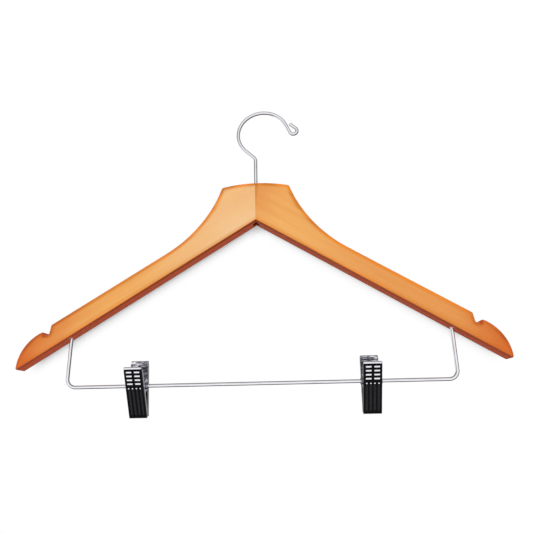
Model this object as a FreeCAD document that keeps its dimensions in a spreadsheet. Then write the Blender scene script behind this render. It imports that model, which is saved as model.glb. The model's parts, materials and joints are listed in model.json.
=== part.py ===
import FreeCAD, Part
import math
import os
import re
import Sketcher

# Skirt hanger: two wooden arms joined at a centre seam, a swivel hook, a wire bar and two sprung clips.
# Millimetres and degrees. The hanger hangs plumb: +Z is up, the arms run along X, the front looks along -Y.
# The origin is the place on the inside of the crook that sits on a rail, plumb above the swivel axis.
# Pieces of the wooden frame and the hook are drawn with z = 0 at the top of the wood.
# Pieces of a clip are drawn round the clip's pivot, with the front jaw towards -Y.

SIZES = [
    # wooden arms
    ("hanger_width", 445.0),
    ("wood_thick", 14.0),
    ("collar_height", 41.0),
    ("collar_width", 67.0),
    ("crown_drop", 3.8),
    ("arm_slope", 32.0),
    ("arm_width", 20.3),
    ("flare_radius", 130.0),
    ("collar_round", 3.0),
    ("edge_round", 1.5),
    ("notch_place", 29.2),
    ("notch_width", 7.2),
    ("notch_depth", 11.6),
    ("notch_lean", 1.8),
    ("notch_round", 2.2),
    ("notch_top_round", 2.0),
    ("lip_drop", 1.7),
    ("lip_round", 2.6),
    ("nose_radius", 37.0),
    ("tip_round", 1.8),
    # tongue and slot of the centre seam
    ("tongue_length", 12.0),
    ("tongue_thick", 5.0),
    ("glue_gap", 0.05),
    ("tongue_end_gap", 0.3),
    # swivel hook, its washer and its seat in the wood
    ("hook_wire", 3.4),
    ("shank_height", 28.2),
    ("shank_bend", 6.0),
    ("crook_radius", 26.2),
    ("crook_offset", 8.3),
    ("neck_rise", 4.8),
    ("eye_radius", 3.9),
    ("eye_stand", 1.72),
    ("eye_lift", 4.9),
    ("eye_tail", 8.2),
    ("eye_heading", 137.0),
    ("swivel_clearance", 0.08),
    ("head_flange", 1.0),
    ("head_height", 2.0),
    ("head_round", 0.5),
    ("washer_flange", 0.5),
    ("washer_thick", 1.0),
    ("washer_clearance", 0.3),
    ("washer_play", 0.15),
    ("thrust_gap", 0.1),
    ("foot_bore_depth", 10.0),
    # wire bar
    ("bar_dia", 3.2),
    ("bar_inset", 47.3),
    ("bar_drop", 44.5),
    ("bar_bend", 8.0),
    ("bar_hole_depth", 12.0),
    ("bar_fit", 0.05),
    ("bar_end_gap", 0.3),
    # clips: places on the bar and lean
    ("left_clip_place", 109.5),
    ("right_clip_place", 99.7),
    ("clip_tilt", 20.0),
    # pivot tube and spring
    ("tube_clearance", 0.06),
    ("tube_wall", 0.5),
    ("rim_gap", 0.1),
    ("rim_height", 0.8),
    ("rim_length", 1.2),
    ("rim_round", 0.3),
    ("ear_clearance", 0.06),
    ("ear_wall", 1.4),
    ("ear_root", 5.5),
    ("ear_gap", 0.2),
    ("spring_wire", 1.1),
    ("coil_clearance", 0.35),
    ("coil_gap", 0.55),
    ("coil_side_gap", 1.15),
    ("leg_gap", 0.05),
    # pressed jaw plates
    ("clip_width", 16.2),
    ("plate_thick", 0.8),
    ("plate_room", 2.43),
    ("jaw_rise", 21.8),
    ("jaw_drop", 27.5),
    ("tip_room", 1.1),
    ("bead_radius", 1.3),
    ("bead_round", 1.0),
    ("flange_depth", 1.8),
    ("seam_gap", 0.35),
    ("emboss_proud", 0.15),
    ("emboss_height", 1.6),
    ("emboss_round", 0.3),
    ("emboss_wall", 0.45),
    ("emboss_margin", 2.0),
    ("column_gap", 2.2),
    ("row_inset", 1.8),
    ("row_pitch", 3.7),
    ("pip_dia", 1.5),
    ("pip_drop", 4.45),
    # moulded jaw covers
    ("cover_thick", 1.6),
    ("cover_lip", 0.9),
    ("cover_gap", 0.1),
    ("cover_round", 0.7),
    ("window_clearance", 0.1),
    ("flute_width", 2.2),
    ("flute_depth", 0.8),
    ("flute_margin", 1.14),
    ("flute_gap", 0.25),
    ("flute_inset", 2.3),
    # rubber grip pads
    ("pad_length", 13.0),
    ("pad_gap", 0.15),
    ("pad_side_gap", 0.3),
    ("tooth_depth", 0.5),
    # reach of cuts past the faces they open
    ("overrun", 2.0),
]
ROWS = 4
COLUMN_SIDES = (-1, 1)
FLUTES = 4
TEETH = 6
NEAR_SHARE = 0.0005

doc = FreeCAD.newDocument("SkirtHanger")
sheet = doc.addObject("Spreadsheet::Sheet", "Sizes")
for row, (word, size) in enumerate(SIZES, 1):
    sheet.set(f"A{row}", word)
    sheet.set(f"B{row}", str(size))
    sheet.setAlias(f"B{row}", word)
doc.recompute()

WORDS = re.compile(r"\b(" + "|".join(word for word, size in SIZES) + r")\b")


def ref(text):
    """Expression text in which each size is read from the sheet."""
    return WORDS.sub(r"Sizes.\1", text)


def num(text):
    """Value of a text of sizes now."""
    value = sheet.evalExpression(text)
    return float(getattr(value, "Value", value))


# Lines of the wood, as texts of sizes.
HALF = "(hanger_width / 2)"
COLLAR = "(collar_width / 2)"
ARM_DEEP = "(arm_width / cos(arm_slope))"
CROWN_RADIUS = f"(({COLLAR} ^ 2 + crown_drop ^ 2) / (2 * crown_drop))"
WALL_X = f"({HALF} - notch_place)"
LIP_X = f"({WALL_X} + notch_width)"
FLARE_FALL = f"((-crown_drop + collar_height + {COLLAR} * tan(arm_slope) - {ARM_DEEP}) * cos(arm_slope))"
FLARE_RUN = f"sqrt(2 * flare_radius * {FLARE_FALL} - {FLARE_FALL} ^ 2)"
FLARE_X = f"({COLLAR} - {FLARE_FALL} * sin(arm_slope) + {FLARE_RUN} * cos(arm_slope))"


def lower(x):
    """Height of the arm's lower edge at x."""
    return f"(-collar_height - {x} * tan(arm_slope))"


def upper(x):
    """Height of the arm's upper edge at x."""
    return f"({lower(x)} + {ARM_DEEP})"


# The hook's heights and the fall from the rail seat to the top of the wood.
CROOK_HEIGHT = "(shank_height + crook_radius + neck_rise)"
SEAT = f"({CROOK_HEIGHT} + sqrt((crook_radius - hook_wire / 2) ^ 2 - crook_offset ^ 2))"
HEAD_DIA = "(hook_wire + 2 * head_flange)"
WASHER_DIA = f"({HEAD_DIA} + 2 * washer_flange)"
CEILING = "(foot_bore_depth - collar_height)"
HEAD_TOP = f"({CEILING} - washer_thick - thrust_gap)"
HOOK_FOOT = f"({HEAD_TOP} - head_height)"

# The bar.
LEG_X = f"({HALF} - bar_inset)"
LEG_TOP = f"({lower(LEG_X)} + bar_hole_depth)"
BAR_Z = f"({lower(LEG_X)} - bar_drop)"

# The clip, from its pivot: n is the distance towards the jaw's own outside, s is the height along its plate.
TUBE_IN = "(bar_dia / 2 + tube_clearance)"
TUBE_OUT = f"({TUBE_IN} + tube_wall)"
EAR_HOLE = f"({TUBE_OUT} + ear_clearance)"
EAR_RADIUS = f"({EAR_HOLE} + ear_wall)"
COIL = f"({TUBE_OUT} + coil_clearance + spring_wire / 2)"
N_IN = f"({COIL} + spring_wire / 2 + plate_room)"
N_OUT = f"({N_IN} + plate_thick)"
N_FACE = f"({N_OUT} + cover_thick)"
PLATE_DROP = "(jaw_drop - cover_lip)"
SPLAY_TAN = f"(({N_IN} - tip_room) / {PLATE_DROP})"
SPLAY = f"(atan({SPLAY_TAN}) / 1 deg)"
BEAD_N = f"({N_FACE} - bead_radius)"
BEAD_S = "(jaw_rise - bead_radius)"
COVER_TOP = "(jaw_rise - 2 * bead_radius - cover_gap)"
EMBOSS = "(cover_thick + emboss_proud)"
EMBOSS_LENGTH = "((clip_width - 2 * emboss_margin - column_gap) / 2)"
PIP_S = f"({COVER_TOP} - row_inset - {ROWS - 1} * row_pitch - pip_drop)"
FLUTE_PITCH = f"((clip_width - 2 * flute_margin) / {FLUTES})"
FRONT_EAR = "(clip_width / 2)"
REAR_EAR = "(clip_width / 2 - plate_thick - ear_gap)"


def row_s(place):
    """Height of an embossed row, counted from the top one."""
    return f"({COVER_TOP} - row_inset - {place} * row_pitch)"


def bind(thing, path, text):
    thing.setExpression(path, ref(text))


def settle(feature):
    """Works the feature out and stops the build where it fails."""
    doc.recompute()
    if "Invalid" in feature.State or "Error" in feature.State or feature.Shape.isNull():
        body = feature.getParentGeoFeatureGroup().Label
        raise RuntimeError(f"{body}: {feature.Name} {feature.getStatusString()}")


def new_body(label):
    body = doc.addObject("PartDesign::Body", label)
    body.Label = label
    return body


def new_sketch(body, plane, lift=None):
    """Sketch on one of the body's own planes, raised along the plane's normal."""
    sketch = body.newObject("Sketcher::SketchObject", "Sketch")
    support = next(item for item in body.Origin.OriginFeatures if item.Role == plane)
    sketch.AttachmentSupport = [(support, "")]
    sketch.MapMode = "FlatFace"
    if lift is not None:
        bind(sketch, "AttachmentOffset.Base.z", lift)
    return sketch


def limit(sketch, value, text, *where):
    """Adds one constraint whose value follows the text of sizes."""
    kind, rest = where[0], where[1:]
    index = sketch.addConstraint(Sketcher.Constraint(kind, *rest, value))
    bind(sketch, f"Constraints[{index}]", text)


def pin(sketch, piece, end, place):
    for kind, text in zip(("DistanceX", "DistanceY"), place):
        limit(sketch, num(text), text, kind, piece, end)


def arc_between(start, end, radius, turn):
    """Arc shorter than half a turn from start to end; turn is 1 for anticlockwise and -1 for clockwise."""
    chord = end - start
    middle = (start + end) * 0.5
    side = FreeCAD.Vector(-chord.y, chord.x, 0).normalize()
    reach = math.sqrt(max(radius ** 2 - (chord.Length / 2) ** 2, 0))
    centre = middle + side * reach * turn
    first, last = (start, end) if turn > 0 else (end, start)
    angles = [math.atan2((point - centre).y, (point - centre).x) for point in (first, last)]
    if angles[1] < angles[0]:
        angles[1] += 2 * math.pi
    return Part.ArcOfCircle(Part.Circle(centre, FreeCAD.Vector(0, 0, 1), radius), *angles)


def trace(sketch, corners, arcs=None, closed=True):
    """Outline through the corners; arcs maps a span to its radius text and turn, and other spans are straight."""
    arcs = arcs or {}
    points = [FreeCAD.Vector(num(x), num(y), 0) for x, y in corners]
    spans = len(corners) if closed else len(corners) - 1
    pieces = []
    for span in range(spans):
        start, end = points[span], points[(span + 1) % len(points)]
        if span in arcs:
            radius, turn = arcs[span]
            index = sketch.addGeometry(arc_between(start, end, num(radius), turn), False)
            ends = (1, 2) if turn > 0 else (2, 1)
        else:
            index = sketch.addGeometry(Part.LineSegment(start, end), False)
            ends = (1, 2)
        pieces.append((index, ends))
    for span in range(spans if closed else spans - 1):
        here, there = pieces[span], pieces[(span + 1) % spans]
        sketch.addConstraint(Sketcher.Constraint("Coincident", here[0], here[1][1], there[0], there[1][0]))
    for span in range(spans):
        pin(sketch, pieces[span][0], pieces[span][1][0], corners[span])
    if not closed:
        pin(sketch, pieces[-1][0], pieces[-1][1][1], corners[-1])
    for span, (radius, turn) in arcs.items():
        limit(sketch, num(radius), radius, "Radius", pieces[span][0])


def circle(sketch, place, radius):
    index = sketch.addGeometry(Part.Circle(FreeCAD.Vector(num(place[0]), num(place[1]), 0),
                                           FreeCAD.Vector(0, 0, 1), num(radius)), False)
    pin(sketch, index, 3, place)
    limit(sketch, num(radius), radius, "Radius", index)


def box(sketch, left, right, bottom, top):
    trace(sketch, [(left, bottom), (right, bottom), (right, top), (left, top)])


def pad(body, sketch, length, both=False, flip=False):
    feature = body.newObject("PartDesign::Pad", "Pad")
    feature.Profile = sketch
    if both:
        feature.SideType = "Symmetric"
    feature.Reversed = flip
    bind(feature, "Length", length)
    settle(feature)
    return feature


def cut(body, sketch, length=None, both=False, flip=False):
    """Pocket of a length, or right through where no length is given; it has to take material away."""
    before = body.Shape.Volume
    feature = body.newObject("PartDesign::Pocket", "Pocket")
    feature.Profile = sketch
    if both:
        feature.SideType = "Symmetric"
    feature.Reversed = flip
    if length is None:
        feature.Type = "ThroughAll"
    else:
        bind(feature, "Length", length)
    settle(feature)
    if not body.Shape.Volume < before * (1 - 1e-7):
        raise RuntimeError(f"{body.Label}: a cut takes nothing away")
    return feature


def pipe(body, profile, path):
    feature = body.newObject("PartDesign::AdditivePipe", "Pipe")
    feature.Profile = profile
    feature.Spine = (path, [])
    settle(feature)
    return feature


def soften(body, radius, chosen):
    """Rounds the chosen edges of the body as it is so far."""
    base = body.Tip
    names = [f"Edge{index}" for index, edge in enumerate(base.Shape.Edges, 1) if chosen(edge)]
    if not names:
        raise RuntimeError(f"{body.Label}: no edge to round")
    feature = body.newObject("PartDesign::Fillet", "Fillet")
    feature.Base = (base, names)
    bind(feature, "Radius", radius)
    settle(feature)
    return feature


def points_of(edge):
    first, last = edge.FirstParameter, edge.LastParameter
    return [edge.valueAt(first + (last - first) * share) for share in (0, 0.5, 1)]


def all_at(edge, axis, value, near):
    return all(abs(getattr(point, axis) - value) < near for point in points_of(edge))


def set_place(body, x, z, tilt=None, turned=False):
    """Sets the body by sizes: its origin at x and z, turned half round and tilted about X."""
    turn = "rotation(vector(1; 0; 0); 0)" if tilt is None else f"rotation(vector(1; 0; 0); {tilt})"
    if turned:
        turn += " * rotation(vector(0; 0; 1); 180)"
    bind(body, "Placement", f"placement(vector({x}; 0; {z}); {turn})")


def build_arm(label, side):
    """One wooden arm; side is 1 for the arm towards +X, which carries the tongue, and -1 for the slotted one."""
    body = new_body(label)

    def across(text):
        return f"({side} * {text})"

    corners = {
        "crown": ("0", "0"),
        "collar": (COLLAR, "(-crown_drop)"),
        "flare": (FLARE_X, upper(FLARE_X)),
        "notch_top": (WALL_X, upper(WALL_X)),
        "notch_floor": (f"({WALL_X} + notch_lean)", f"({upper(WALL_X)} - notch_depth)"),
        "lip": (LIP_X, f"({upper(LIP_X)} - lip_drop)"),
        "tip": (HALF, lower(HALF)),
        "apex": ("0", "(-collar_height)"),
    }
    places = {word: (across(x), z) for word, (x, z) in corners.items()}
    outline = new_sketch(body, "XZ_Plane")
    arcs = {0: (CROWN_RADIUS, -side), 1: ("flare_radius", side), 5: ("nose_radius", -side)}
    trace(outline, list(places.values()), arcs)
    pad(body, outline, "wood_thick", both=True)

    near = num("wood_thick") * NEAR_SHARE
    rounds = [("collar", "collar_round"), ("notch_top", "notch_top_round"), ("notch_floor", "notch_round"),
              ("lip", "lip_round"), ("tip", "tip_round")]
    for word, radius in rounds:
        x, z = (num(text) for text in places[word])
        soften(body, radius, lambda edge: all_at(edge, "x", x, near) and all_at(edge, "z", z, near))
    deep = num("wood_thick / 2")
    soften(body, "edge_round", lambda edge: not all_at(edge, "x", 0, near)
           and (all_at(edge, "y", deep, near) or all_at(edge, "y", -deep, near)))

    if side > 0:
        # The tongue fills the other arm's slot between the crown and the lower edge.
        tongue = new_sketch(body, "XZ_Plane")
        reach = "(-tongue_length)"
        fall = f"(sqrt({CROWN_RADIUS} ^ 2 - tongue_length ^ 2) - {CROWN_RADIUS})"
        trace(tongue, [("0", "0"), (reach, fall), (reach, lower("tongue_length")), ("0", "(-collar_height)")],
              {0: (CROWN_RADIUS, 1)})
        pad(body, tongue, "tongue_thick", both=True)
        bore = new_sketch(body, "XY_Plane")
        circle(bore, ("0", "0"), "(hook_wire / 2 + swivel_clearance)")
        cut(body, bore, both=True)
    else:
        slot = new_sketch(body, "XZ_Plane")
        box(slot, "(-tongue_length - tongue_end_gap)", "overrun",
            f"({lower('tongue_length')} - overrun)", "overrun")
        cut(body, slot, "(tongue_thick + 2 * glue_gap)", both=True)
    foot_bore = new_sketch(body, "XY_Plane", CEILING)
    circle(foot_bore, ("0", "0"), f"({WASHER_DIA} / 2 + washer_clearance)")
    cut(body, foot_bore)
    leg_hole = new_sketch(body, "XY_Plane", LEG_TOP)
    circle(leg_hole, (across(LEG_X), "0"), "(bar_dia / 2 + bar_fit)")
    cut(body, leg_hole)
    set_place(body, "0", f"(-{SEAT})")
    return body


def build_hook():
    """Bent wire hook: shank, neck bend, crook, a small eye at the free end, and the peened head in the wood."""
    body = new_body("hook")
    neck_x = "(crook_offset + shank_bend)"
    neck_z = "(crook_radius + neck_rise)"
    neck = (f"((atan2({neck_z}; {neck_x}) + asin((crook_radius + shank_bend)"
            f" / sqrt({neck_x} ^ 2 + {neck_z} ^ 2))) / 1 deg)")
    eye_far = "(crook_radius + eye_radius + eye_stand)"
    mouth = f"(eye_lift - asin((crook_radius + eye_radius) / {eye_far}) / 1 deg)"
    crook = ("crook_offset", CROOK_HEIGHT)
    eye = (f"(crook_offset + {eye_far} * cos(eye_lift))", f"({CROOK_HEIGHT} + {eye_far} * sin(eye_lift))")

    def beside(centre, radius, heading, hand):
        """Point of a round where the wire runs along the heading; hand is 1 for a turn to the right."""
        sign = "-" if hand > 0 else "+"
        other = "+" if hand > 0 else "-"
        return (f"({centre[0]} {sign} {radius} * sin({heading}))", f"({centre[1]} {other} {radius} * cos({heading}))")

    tail = beside(eye, "eye_radius", "eye_heading", -1)
    corners = [
        ("0", HOOK_FOOT),
        ("0", "shank_height"),
        beside(("(-shank_bend)", "shank_height"), "shank_bend", neck, -1),
        beside(crook, "crook_radius", neck, 1),
        (crook[0], f"({crook[1]} + crook_radius)"),
        beside(crook, "crook_radius", mouth, 1),
        beside(eye, "eye_radius", mouth, -1),
        (eye[0], f"({eye[1]} - eye_radius)"),
        tail,
        (f"({tail[0]} + eye_tail * cos(eye_heading))", f"({tail[1]} + eye_tail * sin(eye_heading))"),
    ]
    arcs = {1: ("shank_bend", 1), 3: ("crook_radius", -1), 4: ("crook_radius", -1),
            6: ("eye_radius", 1), 7: ("eye_radius", 1)}
    path = new_sketch(body, "XZ_Plane")
    trace(path, corners, arcs, closed=False)
    profile = new_sketch(body, "XY_Plane", HOOK_FOOT)
    circle(profile, ("0", "0"), "(hook_wire / 2)")
    pipe(body, profile, path)
    head = new_sketch(body, "XY_Plane", HOOK_FOOT)
    circle(head, ("0", "0"), f"({HEAD_DIA} / 2)")
    pad(body, head, "head_height")
    near = num("hook_wire") * NEAR_SHARE
    foot = num(HOOK_FOOT)
    soften(body, "head_round", lambda edge: all_at(edge, "z", foot, near))
    far = FreeCAD.Vector(num(corners[-1][0]), 0, num(corners[-1][1]))
    wire = num("hook_wire / 2")
    soften(body, "head_round", lambda edge: all((point - far).Length < wire + near for point in points_of(edge))
           and edge.Closed)
    set_place(body, "0", f"(-{SEAT})")
    return body


def build_washer():
    body = new_body("hook_washer")
    ring = new_sketch(body, "XY_Plane", CEILING)
    circle(ring, ("0", "0"), f"({WASHER_DIA} / 2)")
    circle(ring, ("0", "0"), "(hook_wire / 2 + washer_play)")
    pad(body, ring, "washer_thick", flip=True)
    set_place(body, "0", f"(-{SEAT})")
    return body


def build_bar():
    """Wire bar with two legs that stand in blind holes in the arms."""
    body = new_body("trouser_bar")
    top = f"({LEG_TOP} - bar_end_gap)"
    left, right = f"(-{LEG_X})", LEG_X
    corners = [
        (left, top),
        (left, f"({BAR_Z} + bar_bend)"),
        (f"({left} + bar_bend)", BAR_Z),
        (f"({right} - bar_bend)", BAR_Z),
        (right, f"({BAR_Z} + bar_bend)"),
        (right, top),
    ]
    path = new_sketch(body, "XZ_Plane")
    trace(path, corners, {1: ("bar_bend", 1), 3: ("bar_bend", 1)}, closed=False)
    profile = new_sketch(body, "XY_Plane", top)
    circle(profile, (left, "0"), "(bar_dia / 2)")
    pipe(body, profile, path)
    set_place(body, "0", f"(-{SEAT})")
    return body


def set_on_bar(body, place, tilt=None, turned=False):
    set_place(body, place, f"({BAR_Z} - {SEAT})", tilt, turned)


def build_tube(label, place):
    """Tube that runs on the bar; its rims keep the ears on."""
    body = new_body(label)
    half = f"({FRONT_EAR} + rim_gap + rim_length)"
    rim = f"({FRONT_EAR} + rim_gap)"
    rim_out = f"({TUBE_OUT} + rim_height)"
    profile = new_sketch(body, "XZ_Plane")
    trace(profile, [
        (f"(-{half})", TUBE_IN), (half, TUBE_IN), (half, rim_out), (rim, rim_out), (rim, TUBE_OUT),
        (f"(-{rim})", TUBE_OUT), (f"(-{rim})", rim_out), (f"(-{half})", rim_out),
    ])
    turned = body.newObject("PartDesign::Revolution", "Revolution")
    turned.Profile = profile
    turned.ReferenceAxis = (profile, ["H_Axis"])
    turned.Angle = 360
    settle(turned)
    near = num("tube_wall") * NEAR_SHARE
    end, out = num(half), num(rim_out)
    soften(body, "rim_round", lambda edge: (all_at(edge, "x", end, near) or all_at(edge, "x", -end, near))
           and abs(math.hypot(edge.valueAt(0).y, edge.valueAt(0).z) - out) < near)
    set_on_bar(body, place, "clip_tilt")
    return body


def build_plate(label, place, tilt, turned, ear):
    """Pressed jaw plate: face, side flanges, ears round the tube, rolled top edge, embossed bars and pips."""
    body = new_body(label)
    flange = f"({N_IN} - flange_depth)"
    flange_top = "(jaw_rise - 2 * bead_radius)"
    knee = f"(({flange} - seam_gap) / {SPLAY_TAN})"
    near = num("plate_thick") * NEAR_SHARE
    bead = new_sketch(body, "YZ_Plane")
    circle(bead, (f"(-{BEAD_N})", BEAD_S), "bead_radius")
    pad(body, bead, "clip_width", both=True)
    soften(body, "bead_round", lambda edge: edge.Closed)
    side = new_sketch(body, "YZ_Plane")
    trace(side, [
        (f"(-{N_OUT})", BEAD_S),
        (f"(-{N_IN})", BEAD_S),
        (f"(-{N_IN})", flange_top),
        (f"(-{flange})", f"({flange_top} - flange_depth)"),
        (f"(-{flange})", f"(-{knee})"),
        (f"(-{PLATE_DROP} * {SPLAY_TAN} - seam_gap)", f"(-{PLATE_DROP})"),
        (f"(-{N_OUT})", f"(-{PLATE_DROP})"),
    ])
    pad(body, side, "clip_width", both=True)
    channel = new_sketch(body, "YZ_Plane")
    box(channel, f"(-{N_IN})", "overrun", f"(-{PLATE_DROP} - overrun)", flange_top)
    cut(body, channel, "(clip_width - 2 * plate_thick)", both=True)

    # Ears: lobes round the pivot, rooted in the plate.
    lobe = f"((atan2(ear_root; {N_IN}) + acos({EAR_RADIUS} / sqrt(ear_root ^ 2 + {N_IN} ^ 2))) / 1 deg)"
    touch = (f"(-{EAR_RADIUS} * cos({lobe}))", f"({EAR_RADIUS} * sin({lobe}))")
    ears = new_sketch(body, "YZ_Plane")
    root = f"(-{N_IN} - plate_thick / 2)"
    trace(ears, [(root, "ear_root"), (f"(-{N_IN})", "ear_root"), touch, (touch[0], f"(-{touch[1]})"),
                 (f"(-{N_IN})", "(-ear_root)"), (root, "(-ear_root)")], {2: (EAR_RADIUS, -1)})
    pad(body, ears, f"(2 * {ear})", both=True)
    between = new_sketch(body, "YZ_Plane")
    box(between, f"(-{N_IN})", f"({EAR_RADIUS} + overrun)", "(-ear_root - overrun)", "(ear_root + overrun)")
    cut(body, between, f"(2 * ({ear} - plate_thick))", both=True)
    hole = new_sketch(body, "YZ_Plane")
    circle(hole, ("0", "0"), EAR_HOLE)
    cut(body, hole, both=True)

    # Bars in rows and two columns stand out of the face and are hollow behind; pips stand below them.
    bars = new_sketch(body, "XZ_Plane", N_OUT)
    hollows = new_sketch(body, "XZ_Plane", N_IN)
    for line in range(ROWS):
        for hand in COLUMN_SIDES:
            inner = f"({hand} * column_gap / 2)"
            outer = f"({hand} * (column_gap / 2 + {EMBOSS_LENGTH}))"
            left, right = (inner, outer) if hand > 0 else (outer, inner)
            low, high_s = f"({row_s(line)} - emboss_height / 2)", f"({row_s(line)} + emboss_height / 2)"
            box(bars, left, right, low, high_s)
            box(hollows, f"({left} + emboss_wall)", f"({right} - emboss_wall)",
                f"({low} + emboss_wall)", f"({high_s} - emboss_wall)")
    pad(body, bars, EMBOSS)
    crest = num(f"(-{N_OUT} - {EMBOSS})")
    soften(body, "emboss_round", lambda edge: all_at(edge, "y", crest, near))
    cut(body, hollows, EMBOSS, flip=True)
    pips = new_sketch(body, "XZ_Plane", N_OUT)
    for index in range(FLUTES):
        circle(pips, (f"(({index} - {(FLUTES - 1) / 2}) * {FLUTE_PITCH})", PIP_S), "(pip_dia / 2)")
    pad(body, pips, EMBOSS)
    low = num(f"({PIP_S} + pip_dia)")
    soften(body, "emboss_round", lambda edge: all_at(edge, "y", crest, near) and edge.CenterOfMass.z < low
           and edge.Closed)
    set_on_bar(body, place, tilt, turned)
    return body


def build_cover(label, place, tilt, turned):
    """Moulded jaw cover: windows for the bars and pips, flutes below them, and a lip under the plate's edge."""
    body = new_body(label)
    side = new_sketch(body, "YZ_Plane")
    trace(side, [
        (f"(-{N_FACE})", COVER_TOP),
        (f"(-{N_OUT})", COVER_TOP),
        (f"(-{N_OUT})", f"(-{PLATE_DROP})"),
        (f"(-{N_IN})", f"(-{PLATE_DROP})"),
        (f"(-{N_IN})", "(-jaw_drop)"),
        (f"(-{N_FACE})", "(-jaw_drop)"),
    ])
    pad(body, side, "clip_width", both=True)
    near = num("cover_thick") * NEAR_SHARE
    face, end, low = num(f"(-{N_FACE})"), num("clip_width / 2"), num("(-jaw_drop)")
    soften(body, "cover_round", lambda edge: all_at(edge, "y", face, near)
           and (all_at(edge, "x", end, near) or all_at(edge, "x", -end, near) or all_at(edge, "z", low, near)))
    windows = new_sketch(body, "XZ_Plane", f"({N_FACE} + overrun)")
    for line in range(ROWS):
        for hand in COLUMN_SIDES:
            inner = f"({hand} * (column_gap / 2 - window_clearance))"
            outer = f"({hand} * (column_gap / 2 + {EMBOSS_LENGTH} + window_clearance))"
            left, right = (inner, outer) if hand > 0 else (outer, inner)
            tall = "(emboss_height / 2 + window_clearance)"
            box(windows, left, right, f"({row_s(line)} - {tall})", f"({row_s(line)} + {tall})")
    for index in range(FLUTES):
        circle(windows, (f"(({index} - {(FLUTES - 1) / 2}) * {FLUTE_PITCH})", PIP_S),
               "(pip_dia / 2 + window_clearance)")
    cut(body, windows)
    flutes = new_sketch(body, "XZ_Plane", N_FACE)
    top = f"({PIP_S} - pip_dia / 2 - window_clearance - flute_gap)"
    bottom = "(flute_inset - jaw_drop)"
    for index in range(FLUTES):
        middle = f"(({index} - {(FLUTES - 1) / 2}) * {FLUTE_PITCH})"
        wide = "(flute_width / 2)"
        left, right = f"({middle} - {wide})", f"({middle} + {wide})"
        quarter = (wide, -1)
        trace(flutes, [(left, f"({bottom} + {wide})"), (left, f"({top} - {wide})"), (middle, top),
                       (right, f"({top} - {wide})"), (right, f"({bottom} + {wide})"), (middle, bottom)],
              {1: quarter, 2: quarter, 4: quarter, 5: quarter})
    cut(body, flutes, "flute_depth")
    set_on_bar(body, place, tilt, turned)
    return body


def build_pad(label, place, tilt, turned):
    """Rubber wedge between the plate's flanges, toothed towards the other jaw."""
    body = new_body(label)
    start = f"({PLATE_DROP} - pad_length)"
    step = f"(pad_length / {TEETH})"

    def reach(drop, depth):
        return f"(-{drop} * {SPLAY_TAN} - pad_gap / cos({SPLAY}) - {depth})"

    corners = [(f"(-{N_IN})", f"(-{start})")]
    for tooth in range(TEETH):
        tip = f"({start} + {tooth} * {step})"
        valley = f"({start} + {tooth + 0.5} * {step})"
        corners.append((reach(tip, "0"), f"(-{tip})"))
        corners.append((reach(valley, "tooth_depth"), f"(-{valley})"))
    corners.append((reach(PLATE_DROP, "0"), f"(-{PLATE_DROP})"))
    corners.append((f"(-{N_IN})", f"(-{PLATE_DROP})"))
    side = new_sketch(body, "YZ_Plane")
    trace(side, corners)
    pad(body, side, "(clip_width - 2 * plate_thick - 2 * pad_side_gap)", both=True)
    set_on_bar(body, place, tilt, turned)
    return body


def spring_axis():
    """Wire axis of the torsion spring: a leg, its turns as pairs of arcs and the other leg."""
    wire, radius, splay = num("spring_wire"), num(COIL), math.radians(num(SPLAY))
    stand = num(f"({N_IN} - spring_wire / 2 - leg_gap)")
    along = num(row_s(1.5))
    leg_y = stand * math.cos(splay) + along * math.sin(splay)
    leg_z = along * math.cos(splay) - stand * math.sin(splay)
    start = math.atan2(leg_z, -leg_y) + math.acos(radius / math.hypot(leg_y, leg_z))
    share = (3 * math.pi - 2 * start) / (2 * math.pi) % 1
    room = 2 * (num(REAR_EAR) - num("plate_thick") - num("coil_side_gap")) - wire
    pitch = wire + num("coil_gap")
    turns = math.floor(room / pitch - share) + share
    width = pitch * turns

    def on_coil(part):
        angle = start + 2 * math.pi * turns * part
        return FreeCAD.Vector(width * (0.5 - part), radius * math.cos(angle), radius * math.sin(angle))

    def heading(part):
        angle = start + 2 * math.pi * turns * part
        arc = 2 * math.pi * turns * radius
        return FreeCAD.Vector(-width, -arc * math.sin(angle), arc * math.cos(angle)).normalize()

    first, last = on_coil(0), on_coil(1)
    pieces = [Part.LineSegment(FreeCAD.Vector(first.x, -leg_y, leg_z), first)]
    count = math.ceil(turns * 4)
    for index in range(count):
        low, high = index / count, (index + 1) / count
        pieces += twin_arcs(on_coil(low), heading(low), on_coil(high), heading(high))
    pieces.append(Part.LineSegment(last, FreeCAD.Vector(last.x, leg_y, leg_z)))
    return pieces, turns


def twin_arcs(start, along, end, away):
    """Two arcs that meet smoothly and run from start to end in the given directions."""
    chord = end - start
    both = along + away
    dot = chord.dot(both)
    under = 2 * (1 - along.dot(away))
    reach = (-dot + math.sqrt(dot * dot + under * chord.dot(chord))) / under
    joint = (start + end + (along - away) * reach) * 0.5
    arcs = []
    for here, way, there in ((start, along, joint), (end, away * -1, joint)):
        corner = here + way * reach
        slope = (there - here).normalize()
        half = max(min(way.dot(slope), 1), -1)
        middle = (here + corner * (2 * half) + there) * (1 / (2 * (1 + half)))
        arcs.append((here, middle, there))
    first, second = arcs
    return [Part.Arc(*first), Part.Arc(second[2], second[1], second[0])]


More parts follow.
